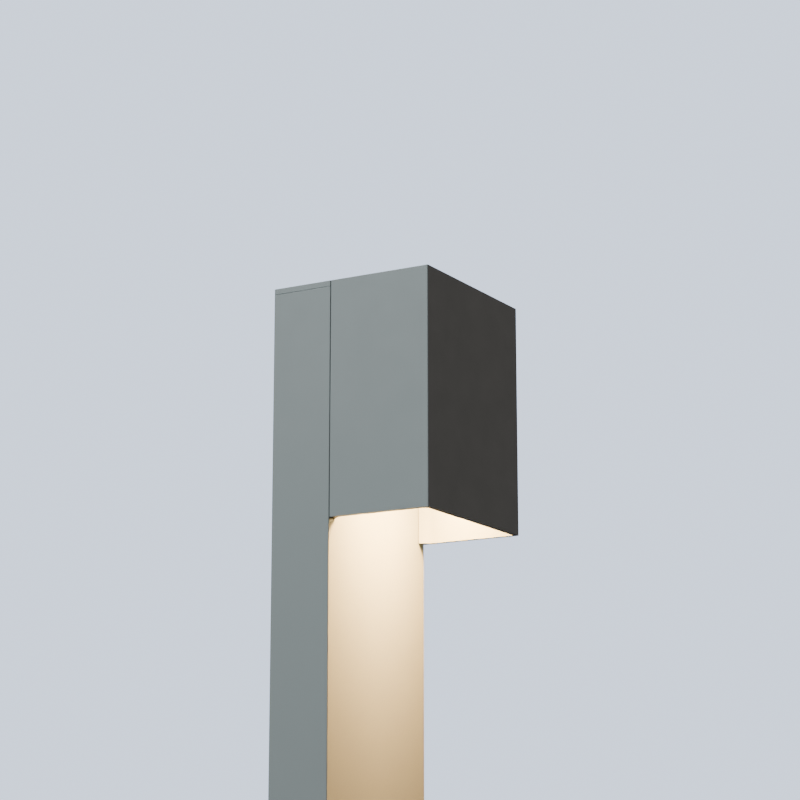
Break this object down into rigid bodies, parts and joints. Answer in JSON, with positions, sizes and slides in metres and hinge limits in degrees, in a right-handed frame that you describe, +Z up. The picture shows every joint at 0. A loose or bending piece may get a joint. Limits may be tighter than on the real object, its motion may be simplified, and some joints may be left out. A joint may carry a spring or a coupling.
{
  "type": "bollard light",
  "caption": "Rectangular post light with a box-shaped hood that shines down the post's front face, on a bolted base plate with a rear service door.",
  "frame": {"origin": "centre of the four anchor slots on the underside of the base plate, on the post's axis", "axes": "+Z up along the post, -Y towards the hood's front, +Y towards the service door, X across"},
  "size_m": [0.18, 0.1473, 0.9],
  "materials": {
    "powder_coat": "fine-textured grey powder coat on aluminium",
    "inner_coat": "light powder coat on aluminium",
    "stainless": "stainless steel",
    "seal_rubber": "matt black EPDM",
    "bare_aluminium": "plain die-cast aluminium",
    "zinc_sheet": "zinc-plated steel sheet",
    "plated_steel": "zinc-plated steel",
    "brass": "plain brass",
    "thermal_silicone": "soft grey silicone",
    "board_mask": "white solder mask",
    "led_phosphor": "yellow phosphor in silicone",
    "reflector_white": "satin white",
    "clear_glass": "clear toughened glass",
    "lead_sheath": "black sheath",
    "earth_sheath": "green sheath",
    "driver_case": "white moulded case",
    "terminal_plastic": "grey moulded polyamide",
    "gland_plastic": "black moulded polyamide"
  },
  "bodies": {
    "post": {"post_profile": "powder_coat", "post_cap": "powder_coat", "head_housing": "powder_coat", "base_plate": "powder_coat", "glass_frame": "inner_coat", "base_screws": "stainless", "cap_screws": "stainless", "head_screws": "stainless", "heat_sink_screws": "stainless", "board_screws": "stainless", "glass_frame_screws": "stainless", "tray_screws": "stainless", "driver_screws": "stainless", "terminal_screws": "stainless", "cap_gasket": "seal_rubber", "head_gasket": "seal_rubber", "glass_gasket": "seal_rubber", "door_gasket": "seal_rubber", "lead_grommet": "seal_rubber", "gland_seal": "seal_rubber", "heat_sink": "bare_aluminium", "door_frame": "bare_aluminium", "gear_tray": "zinc_sheet", "head_inserts": "plated_steel", "earth_stud": "brass", "earth_nut": "brass", "thermal_pad": "thermal_silicone", "led_board": "board_mask", "led_chips": "led_phosphor", "reflector": "reflector_white", "glass_cover": "clear_glass", "led_lead": "lead_sheath", "mains_leads": "lead_sheath", "earth_lead": "earth_sheath", "led_driver": "driver_case", "terminal_block": "terminal_plastic", "gland_body": "gland_plastic", "gland_nut": "gland_plastic"},
    "door": {"service_door": "powder_coat", "door_screws": "stainless"}
  },
  "joints": [
    {"name": "door_lift_off", "type": "slide", "parent": "post", "child": "door", "axis": [0, 1, 0], "range_m": [0, 0.06]}
  ]
}
